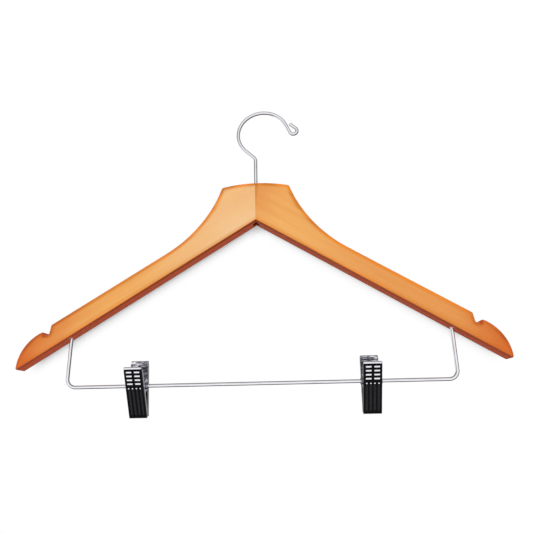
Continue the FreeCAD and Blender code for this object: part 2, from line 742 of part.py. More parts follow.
def build_spring(label, place):
    pieces, turns = spring_axis()
    wire = num("spring_wire")
    path = Part.Wire([piece.toShape() for piece in pieces])
    begin = path.Edges[0]
    point, way = begin.valueAt(begin.FirstParameter), begin.tangentAt(begin.FirstParameter)
    ring = Part.Wire([Part.makeCircle(wire / 2, point, way)])
    spring = doc.addObject("Part::Feature", label)
    spring.Label = label
    spring.Shape = path.makePipeShell([ring], True, False)
    set_on_bar(spring, place, "clip_tilt")
    samples = []
    run = 0.0
    for edge in path.Edges:
        count = max(2, math.ceil(edge.Length / (wire / 4)))
        points = edge.discretize(Number=count)
        samples += [(run + edge.Length * index / (count - 1), spot) for index, spot in enumerate(points)]
        run += edge.Length
    far = math.pi * num(COIL)
    least = min((one[1] - two[1]).Length for index, one in enumerate(samples) for two in samples[index + 1:]
                if two[0] - one[0] > far)
    print(f"{label}: turns {turns:.2f}, least gap between turns {least - wire:.3f}")
    return spring


made = [build_arm("left_arm", -1), build_arm("right_arm", 1), build_hook(), build_washer(), build_bar()]
for hand, place in (("left_clip", "(-left_clip_place)"), ("right_clip", "right_clip_place")):
    front = f"(clip_tilt + {SPLAY})"
    rear = f"(clip_tilt - {SPLAY})"
    made.append(build_tube(f"{hand}_tube", place))
    for word, tilt, turned, ear in (("front", front, False, FRONT_EAR), ("rear", rear, True, REAR_EAR)):
        made.append(build_plate(f"{hand}_{word}_plate", place, tilt, turned, ear))
        made.append(build_cover(f"{hand}_{word}_cover", place, tilt, turned))
        made.append(build_pad(f"{hand}_{word}_pad", place, tilt, turned))
    made.append(build_spring(f"{hand}_spring", place))

doc.recompute()
for item in doc.Objects:
    if "Invalid" in item.State or "Error" in item.State:
        raise RuntimeError(f"{item.Label} is in state {item.State}")
os.makedirs("parts", exist_ok=True)
for item in made:
    shape = item.Shape
    if shape.isNull() or not shape.isValid() or shape.Volume <= 0 or len(shape.Solids) != 1:
        raise RuntimeError(f"{item.Label} is not one sound solid")
    shape.exportStep(f"parts/{item.Label}.step")
    size = shape.BoundBox
    print(f"{item.Label}: {size.XLength:.1f} x {size.YLength:.1f} x {size.ZLength:.1f}, {shape.Volume:.0f}")
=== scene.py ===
"""Skirt hanger dressed on the CAD frame: varnished arms, plated wire hook and bar, sprung clips."""

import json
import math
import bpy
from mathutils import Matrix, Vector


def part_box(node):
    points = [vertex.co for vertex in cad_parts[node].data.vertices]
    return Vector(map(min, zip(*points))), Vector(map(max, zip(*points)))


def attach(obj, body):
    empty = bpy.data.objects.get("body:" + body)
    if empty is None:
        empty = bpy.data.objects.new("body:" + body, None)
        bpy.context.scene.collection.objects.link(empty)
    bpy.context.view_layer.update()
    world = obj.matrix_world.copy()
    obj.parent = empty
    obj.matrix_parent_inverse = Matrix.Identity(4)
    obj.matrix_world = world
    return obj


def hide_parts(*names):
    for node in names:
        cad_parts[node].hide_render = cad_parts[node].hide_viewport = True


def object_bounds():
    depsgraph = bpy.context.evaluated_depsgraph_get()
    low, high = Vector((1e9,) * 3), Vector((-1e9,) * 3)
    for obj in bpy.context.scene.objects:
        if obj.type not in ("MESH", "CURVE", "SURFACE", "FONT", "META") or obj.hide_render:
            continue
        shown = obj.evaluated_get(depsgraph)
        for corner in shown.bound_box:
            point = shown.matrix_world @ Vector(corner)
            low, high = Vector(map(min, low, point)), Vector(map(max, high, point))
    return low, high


bl_info = {
    "name": "Skirt Hanger Dressing",
    "version": (1, 0, 0),
    "blender": (4, 5, 0),
    "location": "3D View > Sidebar > Hanger",
    "description": "Dresses the skirt hanger: varnished arms, plated wire, sprung clips and a studio",
    "category": "Object",
}

import bmesh
import bpy
from bpy.props import FloatProperty, FloatVectorProperty, IntProperty, PointerProperty
from mathutils import Matrix, Vector
from mathutils.kdtree import KDTree

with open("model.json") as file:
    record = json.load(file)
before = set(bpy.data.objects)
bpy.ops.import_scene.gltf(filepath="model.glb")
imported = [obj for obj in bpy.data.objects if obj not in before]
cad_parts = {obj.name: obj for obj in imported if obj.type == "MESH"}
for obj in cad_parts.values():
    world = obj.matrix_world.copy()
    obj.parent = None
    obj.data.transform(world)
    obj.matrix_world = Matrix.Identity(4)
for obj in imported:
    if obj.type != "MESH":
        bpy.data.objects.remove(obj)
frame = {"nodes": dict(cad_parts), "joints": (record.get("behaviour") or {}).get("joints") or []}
CAD_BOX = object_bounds()
CLIPS = ("left_clip", "right_clip")
# Points nearer than this, in metres, are one.
WELD = 2e-6
# Faces that turn by less are one flat face, and edges that turn by more are shaded sharp.
FLAT_ANGLE, SHARP_ANGLE = math.radians(0.1), math.radians(35)


class WoodSettings(bpy.types.PropertyGroup):
    """Varnished wood of the arms."""

    pale: FloatVectorProperty(
        name="Pale wood", description="Light bands of the grain", subtype="COLOR",
        default=(0.95, 0.475, 0.138))
    deep: FloatVectorProperty(
        name="Deep wood", description="Dark bands of the grain", subtype="COLOR",
        default=(0.86, 0.365, 0.080))
    rim: FloatVectorProperty(
        name="Edge stain", description="Stain that gathers along the edges", subtype="COLOR",
        default=(0.86, 0.24, 0.008))
    tip: FloatVectorProperty(
        name="Tip stain", description="Redder stain at the arms' tips", subtype="COLOR",
        default=(0.70, 0.13, 0.008))
    tip_rim: FloatVectorProperty(
        name="Tip edge stain", description="Stain along the edges at the arms' tips", subtype="COLOR",
        default=(0.60, 0.095, 0.006))
    # Partly stain and partly painted shade: the faces that look down are painted darker.
    under: FloatVectorProperty(
        name="Underside stain and shade", description="Arms' undersides", subtype="COLOR",
        default=(0.60, 0.085, 0.02))
    # Painted shade: the inner walls of the notches' lips are painted darker.
    lip: FloatVectorProperty(
        name="Lip shade", description="Painted shade on the notches' lips", subtype="COLOR",
        default=(0.46, 0.045, 0.012))
    # Painted shade: the wood inside the bores and round their mouths is painted dark; the undersides'
    # darker edges take this colour too.
    bore: FloatVectorProperty(
        name="Bore shade", description="Inside the bores of the hook and the bar", subtype="COLOR",
        default=(0.22, 0.045, 0.015))
    light: FloatVectorProperty(
        name="Light wood", description="Paler wood of the left arm beside the seam", subtype="COLOR",
        default=(0.97, 0.64, 0.34))
    slope: FloatProperty(
        name="Arm slope", description="Fall of the arms, which the grain follows", subtype="ANGLE",
        default=math.radians(32))
    rim_width: FloatProperty(
        name="Edge stain width", description="Width of the stained band on the faces", unit="LENGTH",
        default=0.0038)
    # The dark bores are painted shade inside the holes of the hook's foot and the bar's legs.
    foot_bore: FloatProperty(
        name="Foot bore", description="Radius of the dark bore round the hook's foot", unit="LENGTH",
        default=0.0035)
    leg_bore: FloatProperty(
        name="Leg bore", description="Radius of the dark bores round the bar's legs", unit="LENGTH",
        default=0.00165)
    leg_place: FloatProperty(
        name="Leg place", description="Distance of the bar's legs from the middle", unit="LENGTH",
        default=0.1752)
    notch_place: FloatProperty(
        name="Notch place", description="Distance of the notches' inner walls from the middle",
        unit="LENGTH", default=0.191)
    lower_share: FloatProperty(
        name="Lower edge stain", description="Strength of the stain along the lower edges",
        subtype="FACTOR", default=0.45, min=0.0, max=1.0)


class WireSettings(bpy.types.PropertyGroup):
    """Bent wire of the hook, the bar and the springs."""

    hook_wire: FloatProperty(
        name="Hook wire", description="Diameter of the hook's wire", unit="LENGTH", default=0.0034)
    shank_height: FloatProperty(
        name="Shank height", description="Straight shank above the wood", unit="LENGTH", default=0.0282)
    shank_bend: FloatProperty(
        name="Shank bend", description="Bend radius between the shank and the neck", unit="LENGTH",
        default=0.006)
    crook_radius: FloatProperty(
        name="Crook radius", description="Radius of the crook's wire axis", unit="LENGTH", default=0.0262)
    crook_offset: FloatProperty(
        name="Crook offset", description="Crook's centre beside the shank", unit="LENGTH", default=0.0083)
    neck_rise: FloatProperty(
        name="Neck rise", description="Rise of the neck beyond the crook's radius", unit="LENGTH",
        default=0.0048)
    eye_radius: FloatProperty(
        name="Eye radius", description="Radius of the curl at the hook's end", unit="LENGTH",
        default=0.0039)
    eye_stand: FloatProperty(
        name="Eye stand", description="Room between the crook's and the curl's circles", unit="LENGTH",
        default=0.00172)
    eye_lift: FloatProperty(
        name="Eye lift", description="Angle of the curl above the crook's centre", subtype="ANGLE",
        default=math.radians(4.9))
    eye_tail: FloatProperty(
        name="Eye tail", description="Straight end after the curl", unit="LENGTH", default=0.0082)
    eye_heading: FloatProperty(
        name="Eye heading", description="Direction of the straight end", subtype="ANGLE",
        default=math.radians(137))
    head_radius: FloatProperty(
        name="Head radius", description="Radius of the peened head under the washer", unit="LENGTH",
        default=0.0027)
    head_height: FloatProperty(
        name="Head height", description="Height of the peened head", unit="LENGTH", default=0.002)
    bar_wire: FloatProperty(
        name="Bar wire", description="Diameter of the bar's wire", unit="LENGTH", default=0.0032)
    bar_bend: FloatProperty(
        name="Bar bend", description="Bend radius at the bar's corners", unit="LENGTH", default=0.008)
    spring_wire: FloatProperty(
        name="Spring wire", description="Diameter of the springs' wire", unit="LENGTH", default=0.0011)
    spring_radius: FloatProperty(
        name="Coil radius", description="Radius of the springs' wire axis", unit="LENGTH",
        default=0.00306)
    spring_pitch: FloatProperty(
        name="Coil pitch", description="Advance of each turn", unit="LENGTH", default=0.00165)
    spring_turns: IntProperty(
        name="Whole turns", description="Whole turns of a spring, besides the part turn", default=5)
    sides: IntProperty(name="Sides", description="Sides of a wire's section", default=32)


class ClipSettings(bpy.types.PropertyGroup):
    """Pressed plates, moulded covers and rubber of the clips."""

    tilt: FloatProperty(
        name="Clip tilt", description="Lean of the clips towards the front", subtype="ANGLE",
        default=math.radians(20))
    leg_back: FloatProperty(
        name="Leg stand",
        description="Distance of a spring's end from the pivot, square to the clip's middle",
        unit="LENGTH", default=0.0075)
    leg_up: FloatProperty(
        name="Leg height", description="Height of a spring's end over the pivot", unit="LENGTH",
        default=0.0106)
    plate_soft: FloatProperty(
        name="Plate edge", description="Rounding of the pressed plates' edges", unit="LENGTH",
        default=0.00012)
    cover_soft: FloatProperty(
        name="Cover edge", description="Rounding of the covers' edges", unit="LENGTH", default=0.00012)
    pad_soft: FloatProperty(
        name="Pad edge", description="Rounding of the grip pads' edges", unit="LENGTH", default=0.00015)
    black: FloatVectorProperty(
        name="Cover black", description="Moulded covers", subtype="COLOR",
        default=(0.0015, 0.0015, 0.002))
    # Painted highlight: the flutes' walls are painted a lighter grey.
    flute_highlight: FloatVectorProperty(
        name="Flute highlight", description="Covers' flutes, lighter as a painted highlight", subtype="COLOR",
        default=(0.032, 0.032, 0.037))
    rubber: FloatVectorProperty(
        name="Rubber", description="Grip pads", subtype="COLOR", default=(0.016, 0.016, 0.017))


class MetalSettings(bpy.types.PropertyGroup):
    """Plating of the wire and the pressed parts."""

    chrome: FloatVectorProperty(
        name="Bright plating", description="Polished plating", subtype="COLOR",
        default=(0.87, 0.86, 0.91))
    # Painted shade: dark patches on the plates' inner faces, between the jaws.
    inner: FloatVectorProperty(
        name="Inner shade", description="Patches of painted shade inside the clips' plates", subtype="COLOR",
        default=(0.20, 0.20, 0.23))
    steel: FloatVectorProperty(
        name="Plain steel", description="Springs and washer", subtype="COLOR", default=(0.52, 0.52, 0.56))
    tube: FloatVectorProperty(
        name="Tube plating", description="Tubes that run on the bar", subtype="COLOR",
        default=(0.30, 0.31, 0.36))


class StageSettings(bpy.types.PropertyGroup):
    """Camera, lights and floor."""

    place: FloatVectorProperty(
        name="Camera place", description="Where the camera stands", subtype="TRANSLATION",
        default=(0.0341, -0.4365, -0.3061))
    pitch: FloatProperty(
        name="Camera pitch", description="Upward look of the camera", subtype="ANGLE",
        default=math.radians(17.49))
    yaw: FloatProperty(
        name="Camera yaw", description="Turn of the camera to its left", subtype="ANGLE",
        default=math.radians(3.26))
    roll: FloatProperty(
        name="Camera roll", description="Roll of the camera", subtype="ANGLE", default=math.radians(1.08))
    lens: FloatProperty(name="Lens", description="Focal length on a sensor 36 mm wide", default=32.29)
    floor_drop: FloatProperty(
        name="Floor drop", description="Floor below the hanger's lowest point", unit="LENGTH",
        default=0.55)
    floor_size: FloatProperty(
        name="Floor size", description="Width of the floor", unit="LENGTH", default=2.4)
    board_size: FloatProperty(
        name="Board size", description="Side of the board behind the hanger", unit="LENGTH", default=4.0)
    board_gap: FloatProperty(
        name="Board gap", description="Gap between the hanger's back and the board", unit="LENGTH",
        default=0.0006)
    shade_reach: FloatProperty(
        name="Shade reach", description="How far the hanger's shade spreads", unit="LENGTH",
        default=0.015)


class HangerSettings(bpy.types.PropertyGroup):
    """Everything that a user may set."""

    wood: PointerProperty(type=WoodSettings)
    wire: PointerProperty(type=WireSettings)
    clip: PointerProperty(type=ClipSettings)
    metal: PointerProperty(type=MetalSettings)
    stage: PointerProperty(type=StageSettings)


def settings():
    return bpy.context.scene.hanger


# Meshes


def merged_copy(node):
    """A CAD node's mesh with its loose triangles joined and its flat faces made whole."""
    bm = bmesh.new()
    bm.from_mesh(frame["nodes"][node].data)
    bmesh.ops.remove_doubles(bm, verts=bm.verts, dist=WELD)
    bmesh.ops.dissolve_limit(bm, angle_limit=FLAT_ANGLE, verts=bm.verts, edges=bm.edges)
    return bm


def round_edges(bm, edges, width, segments):
    bmesh.ops.bevel(bm, geom=edges, offset=width, offset_type="OFFSET", segments=segments, profile=0.5,
                    affect="EDGES", material=-1, clamp_overlap=True)


def softened_copy(node, width, least=math.radians(40)):
    """A CAD node's mesh with every edge rounded that turns by more than the least angle."""
    bm = merged_copy(node)
    sharp = [edge for edge in bm.edges if edge.is_manifold and edge.calc_face_angle(0) > least]
    round_edges(bm, sharp, width, segments=2)
    return bm


def facing_away(bm, pivot):
    """The direction of a jaw's broad face, away from the clip's pivot."""
    broad = max(bm.faces, key=lambda face: face.calc_area())
    outward = broad.normal.copy()
    if outward.dot(broad.calc_center_median() - pivot) < 0:
        outward.negate()
    return outward


def new_object(name, bm, material):
    """Turns the mesh into an object of the scene, all in one material."""
    mesh = bpy.data.meshes.new(name)
    bm.to_mesh(mesh)
    bm.free()
    mesh.materials.append(material)
    made = bpy.data.objects.new(name, mesh)
    bpy.context.scene.collection.objects.link(made)
    return made


def make_piece(name, bm, body, material, slot, *nodes):
    """Turns the mesh into a piece that rides on a body and stands for CAD nodes."""
    piece = new_object(name, bm, material)
    piece.data.shade_smooth()
    piece.data.set_sharp_from_angle(angle=SHARP_ANGLE)
    even = piece.modifiers.new("Even shading", "WEIGHTED_NORMAL")
    even.keep_sharp = True
    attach(piece, body)
    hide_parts(*nodes)


def ring_edges(vertices):
    """Edges of a closed ring among its vertices."""
    inside = set(vertices)
    return list({edge for vertex in vertices for edge in vertex.link_edges if set(edge.verts) <= inside})


class WireBender:
    """Draws one wire as a tube: straight runs are extruded and bends are spun."""

    # Angle of one step of a bend, and the rounding of the ends as a share of the radius.
    STEP, END_SHARE = math.radians(5), 0.3

    def __init__(self, place, along, radius, sides):
        self.bm = bmesh.new()
        self.place = Vector(place)
        self.along = Vector(along).normalized()
        turn = self.along.to_track_quat("Z", "Y").to_matrix().to_4x4()
        made = bmesh.ops.create_circle(self.bm, segments=sides, radius=radius,
                                       matrix=Matrix.Translation(self.place) @ turn)
        self.first = self.ring = made["verts"]

    def straight(self, length, swell=1.0):
        """Runs on along the heading; swell widens or narrows the wire at the end of the run."""
        made = bmesh.ops.extrude_edge_only(self.bm, edges=ring_edges(self.ring))
        self.ring = [item for item in made["geom"] if isinstance(item, bmesh.types.BMVert)]
        bmesh.ops.translate(self.bm, verts=self.ring, vec=self.along * length)
        self.place = self.place + self.along * length
        if swell != 1.0:
            bmesh.ops.scale(self.bm, verts=self.ring, vec=(swell,) * 3,
                            space=Matrix.Translation(-self.place))

    def bend(self, centre, axis, angle, climb=Vector()):
        """Turns about an axis through the centre, and climbs along it."""
        steps = max(2, math.ceil(abs(angle) / self.STEP))
        made = bmesh.ops.spin(self.bm, geom=ring_edges(self.ring), cent=centre, axis=axis, angle=angle,
                              steps=steps, dvec=climb / steps)
        self.ring = [item for item in made["geom_last"] if isinstance(item, bmesh.types.BMVert)]
        turn = Matrix.Rotation(angle, 3, axis)
        self.place = Vector(centre) + turn @ (self.place - Vector(centre)) + climb
        self.along = turn @ self.along

    def close(self, radius):
        """Caps both ends of a wire of this radius, with rounded rims."""
        rims = []
        for ring in (self.first, self.ring):
            edges = ring_edges(ring)
            bmesh.ops.edgeloop_fill(self.bm, edges=edges)
            rims += edges
        round_edges(self.bm, rims, radius * self.END_SHARE, segments=3)
        bmesh.ops.recalc_face_normals(self.bm, faces=self.bm.faces)
        return self.bm


# Materials


def feed(tree, socket, value):
    """Links a socket to a node's input, or sets the input to a number, a vector or a colour."""
    if isinstance(value, bpy.types.NodeSocket):
        tree.links.new(value, socket)
    elif socket.type == "RGBA":
        socket.default_value = (*value, 1.0)
    else:
        socket.default_value = value


def fill(tree, node, **values):
    """Sets a node's own settings, or feeds its inputs by their names."""
    for word, value in values.items():
        if hasattr(node, word):
            setattr(node, word, value)
        else:
            feed(tree, node.inputs[word.replace("_", " ")], value)
    return node


def put(tree, kind, **values):
    return fill(tree, tree.nodes.new(f"ShaderNode{kind}"), **values)


def new_group(name, inputs, outputs):
    """Shader node group with named sockets; returns the tree and its two ends."""
    tree = bpy.data.node_groups.new(name, "ShaderNodeTree")
    for in_out, sockets in (("INPUT", inputs), ("OUTPUT", outputs)):
        for word, kind in sockets.items():
            tree.interface.new_socket(word, in_out=in_out, socket_type=f"NodeSocket{kind}")
    return tree, tree.nodes.new("NodeGroupInput"), tree.nodes.new("NodeGroupOutput")


def vector_math(tree, operation, vector, second=(0, 0, 0)):
    """Vector math node on a socket and, where it takes one, a fixed vector."""
    node = put(tree, "VectorMath", operation=operation)
    feed(tree, node.inputs[0], vector)
    feed(tree, node.inputs[1], second)
    return node.outputs["Value" if operation in ("LENGTH", "DOT_PRODUCT") else "Vector"]


def parts_of(tree, vector):
    """The X, Y and Z of a vector."""
    return put(tree, "SeparateXYZ", Vector=vector).outputs[:3]


def attribute(tree, word):
    """The value that a piece's mesh carries under this name."""
    return put(tree, "Attribute", attribute_name=word).outputs["Fac"]


def stretched_noise(tree, vector, stretch, detail=3.0, roughness=0.55):
    """Noise whose grain is drawn out by the stretch along each axis."""
    spread = vector_math(tree, "MULTIPLY", vector, stretch)
    noise = put(tree, "TexNoise", Vector=spread, Scale=1.0, Detail=detail, Roughness=roughness)
    return noise.outputs["Fac"]


def ranged(tree, value, low, high, to_low=0.0, to_high=1.0, smooth=True):
    """Maps the value from one range to another and holds it there."""
    return put(tree, "MapRange", interpolation_type="SMOOTHSTEP" if smooth else "LINEAR", Value=value,
               From_Min=low, From_Max=high, To_Min=to_low, To_Max=to_high).outputs["Result"]


def reckon(tree, operation, first, second):
    """Math node on two sockets or numbers."""
    node = put(tree, "Math", operation=operation)
    feed(tree, node.inputs[0], first)
    feed(tree, node.inputs[1], second)
    return node.outputs[0]


def times(tree, first, second):
    return reckon(tree, "MULTIPLY", first, second)


def mixed(tree, share, first, second, blend="MIX"):
    """Colour mix of two sockets or colours."""
    node = put(tree, "Mix", data_type="RGBA", blend_type=blend)
    for index, value in ((0, share), (6, first), (7, second)):
        feed(tree, node.inputs[index], value)
    return node.outputs[2]


def switched(tree, choice, first, second):
    """The second number where the choice is 1, and the first elsewhere."""
    node = put(tree, "Mix", data_type="FLOAT")
    for index, value in ((0, choice), (2, first), (3, second)):
        feed(tree, node.inputs[index], value)
    return node.outputs[0]


def bumped(tree, height, distance, strength):
    """The normal of a surface with this height."""
    return put(tree, "Bump", Distance=distance, Strength=strength, Height=height).outputs["Normal"]


def grain_group():
    """Fine straight grain: growth bands, fibres and pores, drawn out along X."""
    tree, start, end = new_group(
        "Straight grain", {"Vector": "Vector", "Pale": "Color", "Deep": "Color"},
        {"Color": "Color", "Tone": "Float", "Roughness": "Float", "Height": "Float"})
    band_share, fibre_share, pore_share = 0.6, 0.25, 0.16
    pore_brown = (0.30, 0.085, 0.02)
    smoothest, fibre_rough, fibre_height = 0.30, 0.07, 0.35
    vector = start.outputs["Vector"]
    bands = ranged(tree, stretched_noise(tree, vector, (5, 60, 95), 4.0, 0.5), 0.36, 0.66)
    fibres = ranged(tree, stretched_noise(tree, vector, (42, 900, 1100), 3.0, 0.6), 0.3, 0.7)
    pores = ranged(tree, stretched_noise(tree, vector, (130, 2600, 2600), 2.0, 0.5), 0.64, 0.74)
    tone = reckon(tree, "ADD", times(tree, bands, band_share), times(tree, fibres, fibre_share))
    wood = mixed(tree, tone, start.outputs["Pale"], start.outputs["Deep"])
    wood = mixed(tree, times(tree, pores, pore_share), wood, pore_brown)
    rough = reckon(tree, "ADD", times(tree, fibres, fibre_rough), smoothest)
    height = reckon(tree, "SUBTRACT", times(tree, fibres, fibre_height), pores)
    fill(tree, end, Color=wood, Tone=tone, Roughness=rough, Height=height)
    return tree


def handling_group():
    """Smudges and hair scratches that a handled bright surface has."""
    tree, start, end = new_group(
        "Handling marks", {"Vector": "Vector", "Polish": "Float", "Smudge": "Float"},
        {"Roughness": "Float", "Height": "Float"})
    hair_share = 0.6
    vector = start.outputs["Vector"]
    smudges = ranged(tree, stretched_noise(tree, vector, (140, 140, 140), 3.0, 0.6), 0.42, 0.72)
    hairs = ranged(tree, stretched_noise(tree, vector, (300, 300, 9000), 2.0, 0.5), 0.62, 0.72)
    marks = reckon(tree, "ADD", smudges, times(tree, hairs, hair_share))
    worn = times(tree, marks, start.outputs["Smudge"])
    grit = stretched_noise(tree, vector, (2400, 2400, 2400), 2.0, 0.5)
    fill(tree, end, Roughness=reckon(tree, "ADD", worn, start.outputs["Polish"]),
         Height=reckon(tree, "SUBTRACT", grit, hairs))
    return tree


def start_material(name):
    """New material with its tree, its shader and the object coordinates."""
    material = bpy.data.materials.new(name)
    material.use_nodes = True
    tree = material.node_tree
    return material, tree, tree.nodes["Principled BSDF"], put(tree, "TexCoord").outputs["Object"]


class WoodPlan:
    """Where the wood's colours change, in metres, their shares, and the varnish."""

    GRAIN_SHIFT = (0.37, 0.11)
    CLOUD, CLOUD_PUSH = (30, 30, 30), (0.012, 0.038)
    TIP_FIELD = {-1: (0.16, 0.265), 1: (0.185, 0.265)}
    LIGHT_HEIGHTS, LIGHT_SHARES, LIGHT_END = (-0.135, -0.083), (0.95, 0.5), 0.16
    RED_HEIGHTS, RED_SHARES, RED_END = (-0.125, -0.083), (0.12, 0.4), 0.03
    RED_FIELD, RED_MOST = (0.05, 0.14), 0.3
    RIM_MOST = 0.95
    STREAK_TONES, STREAK_SHARES = (0.1, 0.8), (1.1, 0.72)
    LIP_SHARES, LIP_MOST = (0.3, 0.8), 0.85
    # Painted shade: the undersides darken towards their front and back edges, in the bore colour.
    UNDER_SIDES, UNDER_MOST = (0.0035, 0.0062), 0.6
    BORE_RIM = (1.02, 1.12)
    VARNISH = {"Specular_IOR_Level": 0.25, "Coat_Weight": 0.1, "Coat_Roughness": 0.15}


def wood_fields(tree, side, colour, out, reach, up):
    """Paler wood beside the seam on the left arm, and redder wood on the right arm."""
    wood, plan = settings().wood, WoodPlan
    if side < 0:
        low = ranged(tree, up, *plan.LIGHT_HEIGHTS, *plan.LIGHT_SHARES)
        near = ranged(tree, reach, 0.0, plan.LIGHT_END, 1.0, 0.0)
        return mixed(tree, times(tree, low, near), colour, wood.light)
    high = ranged(tree, up, *plan.RED_HEIGHTS, *plan.RED_SHARES)
    near = ranged(tree, out, 0.0, plan.RED_END, 1.0, 0.0)
    far = ranged(tree, reach, *plan.RED_FIELD, 0.0, plan.RED_MOST)
    return mixed(tree, reckon(tree, "ADD", times(tree, high, near), far), colour, wood.tip)


def wood_edges(tree, colour, outer, tone, across):
    """Stain along the edges, streaked by the grain; painted shade on the notches' lips; darker
    undersides, partly stain and partly painted shade, darkest by their front and back edges.
    """
    wood, plan = settings().wood, WoodPlan
    far, stain, under, lip = (attribute(tree, word)
                              for word in ("edge_far", "edge_stain", "underside_stain_and_shade", "notch_lip_shade"))
    rim = times(tree, ranged(tree, far, 0.0, wood.rim_width, plan.RIM_MOST, 0.0), stain)
    soaked = mixed(tree, outer, wood.rim, wood.tip_rim)
    streak = ranged(tree, tone, *plan.STREAK_TONES, *plan.STREAK_SHARES)
    colour = mixed(tree, rim, colour, mixed(tree, 1.0, soaked, streak, "MULTIPLY"))
    # Painted shade on the inner walls of the notches' lips.
    lip_band = [wood.rim_width * share for share in plan.LIP_SHARES]
    lip_shade = times(tree, ranged(tree, far, *lip_band, plan.LIP_MOST, 0.0), lip)
    colour = mixed(tree, lip_shade, colour, wood.lip)
    # Undersides painted darker, partly stain and partly painted shade, and darker still by their front
    # and back edges as painted shade.
    colour = mixed(tree, under, colour, wood.under)
    beside = ranged(tree, reckon(tree, "ABSOLUTE", across, 0.0), *plan.UNDER_SIDES, 0.0, plan.UNDER_MOST)
    return mixed(tree, times(tree, beside, under), colour, wood.bore)


def wood_bore_shades(tree, colour, out, across, up):
    """Painted shade: dark wood inside the bores of the hook's foot and of the bar's leg, up to what fills
    them.
    """
    wood = settings().wood
    bores = ((0.0, wood.foot_bore, "hook_washer"), (wood.leg_place, wood.leg_bore, "trouser_bar"))
    for middle, bore, filler in bores:
        spot = put(tree, "CombineXYZ", X=reckon(tree, "SUBTRACT", out, middle), Y=across).outputs[0]
        rim = [bore * share for share in WoodPlan.BORE_RIM]
        inside = ranged(tree, vector_math(tree, "LENGTH", spot), *rim, 1.0, 0.0)
        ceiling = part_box(filler)[1].z
        below = ranged(tree, up, ceiling + bore, ceiling + 2 * bore, 1.0, 0.0)
        colour = mixed(tree, times(tree, inside, below), colour, wood.bore)
    return colour


def wood_material(name, side, grain):
    """Varnished wood with its grain along one arm, stained along the edges and redder to the tip, with
    painted shade in the bores and on the lips, and undersides darker in stain and painted shade.
    """
    wood, plan = settings().wood, WoodPlan
    material, tree, shader, place = start_material(name)
    shift, rise = plan.GRAIN_SHIFT
    turned = put(tree, "Mapping", Vector=place, Location=(shift * side, 0.0, rise),
                 Rotation=(0, -side * wood.slope, 0))
    figure = put(tree, "Group", node_tree=grain, Vector=turned.outputs["Vector"], Pale=wood.pale,
                 Deep=wood.deep).outputs
    sideways, across, up = parts_of(tree, place)
    out = times(tree, sideways, float(side))
    cloud = stretched_noise(tree, place, plan.CLOUD, 2.0)
    reach = reckon(tree, "ADD", out, ranged(tree, cloud, 0.0, 1.0, *plan.CLOUD_PUSH, smooth=False))
    outer = ranged(tree, reach, *plan.TIP_FIELD[side])
    colour = mixed(tree, outer, figure["Color"], wood.tip)
    colour = wood_fields(tree, side, colour, out, reach, up)
    colour = wood_edges(tree, colour, outer, figure["Tone"], across)
    colour = wood_bore_shades(tree, colour, out, across, up)
    fill(tree, shader, Base_Color=colour, Roughness=figure["Roughness"], **plan.VARNISH,
         Normal=bumped(tree, figure["Height"], distance=0.0001, strength=0.12))
    return material


def metal_material(name, colour, marks, polish, smudge, inner=None):
    """Plated or bright metal with handling marks; a pressing's inner faces get dark patches of painted
    shade.
    """
    dull_share, most_dull = 0.72, 0.35
    _, tree, shader, place = start_material(name)
    worn = put(tree, "Group", node_tree=marks, Vector=place, Polish=polish, Smudge=smudge).outputs
    cloud = ranged(tree, stretched_noise(tree, place, (90, 90, 90), 3.0), 0.3, 0.75, 0.0, most_dull)
    surface = mixed(tree, cloud, colour, tuple(channel * dull_share for channel in colour))
    # Painted shade: dark patches on the inner faces, between the jaws.
    if inner:
        patches = ranged(tree, stretched_noise(tree, place, (190, 420, 560), 2.0), 0.38, 0.64)
        inner_shade_patches = mixed(tree, patches, inner, colour)
        surface = mixed(tree, attribute(tree, "inner"), surface, inner_shade_patches)
    fill(tree, shader, Base_Color=surface, Metallic=1.0, Roughness=worn["Roughness"],
         Normal=bumped(tree, worn["Height"], distance=0.00002, strength=0.05))


def moulded_material(name, colour, marks, polish, smudge, sheen, bump, flute_highlight=None):
    """Moulded plastic or rubber with a fine skin; flutes may carry a painted highlight."""
    dust_gain, dust_lift, most_dust = 2.2, 0.0005, 0.5
    _, tree, shader, place = start_material(name)
    worn = put(tree, "Group", node_tree=marks, Vector=place, Polish=polish, Smudge=smudge).outputs
    cloud = ranged(tree, stretched_noise(tree, place, (260, 260, 260), 3.0), 0.35, 0.7, 0.0, most_dust)
    surface = mixed(tree, cloud, colour, tuple(channel * dust_gain + dust_lift for channel in colour))
    # Painted highlight on the flutes' walls.
    if flute_highlight:
        surface = mixed(tree, attribute(tree, "flute"), surface, flute_highlight)
    fill(tree, shader, Base_Color=surface, Roughness=worn["Roughness"], Specular_IOR_Level=sheen,
         Normal=bumped(tree, worn["Height"], distance=0.00004, strength=bump))


def finish_of(name):
    """The named material, made on its first use."""
    if name not in bpy.data.materials:
        metal, clip = settings().metal, settings().clip
        marks = bpy.data.node_groups.get("Handling marks") or handling_group()
        looks = {
            "bright plating": dict(colour=metal.chrome, polish=0.07, smudge=0.08),
            "clip plating": dict(colour=metal.chrome, polish=0.10, smudge=0.10, inner=metal.inner),
            "plain steel": dict(colour=metal.steel, polish=0.24, smudge=0.12),
            "tube plating": dict(colour=metal.tube, polish=0.22, smudge=0.10),
            "black moulding": dict(colour=clip.black, polish=0.16, smudge=0.10, sheen=0.07, bump=0.05,
                                   flute_highlight=clip.flute_highlight),
            "grip rubber": dict(colour=clip.rubber, polish=0.60, smudge=0.15, sheen=0.3, bump=0.35),
        }[name]
        maker = moulded_material if "sheen" in looks else metal_material
        maker(name, marks=marks, **looks)
    return bpy.data.materials[name]


# Pieces


def pivot_of(clip):
    """Middle of the line that a clip's jaws turn on."""
    return next(Vector(item["pos_m"]) for item in frame["joints"] if item["name"] == f"{clip}_open")


def jaws():
    """Each jaw's name and its clip's pivot."""
    return [(f"{clip}_{jaw}", pivot_of(clip)) for clip in CLIPS for jaw in ("front", "rear")]


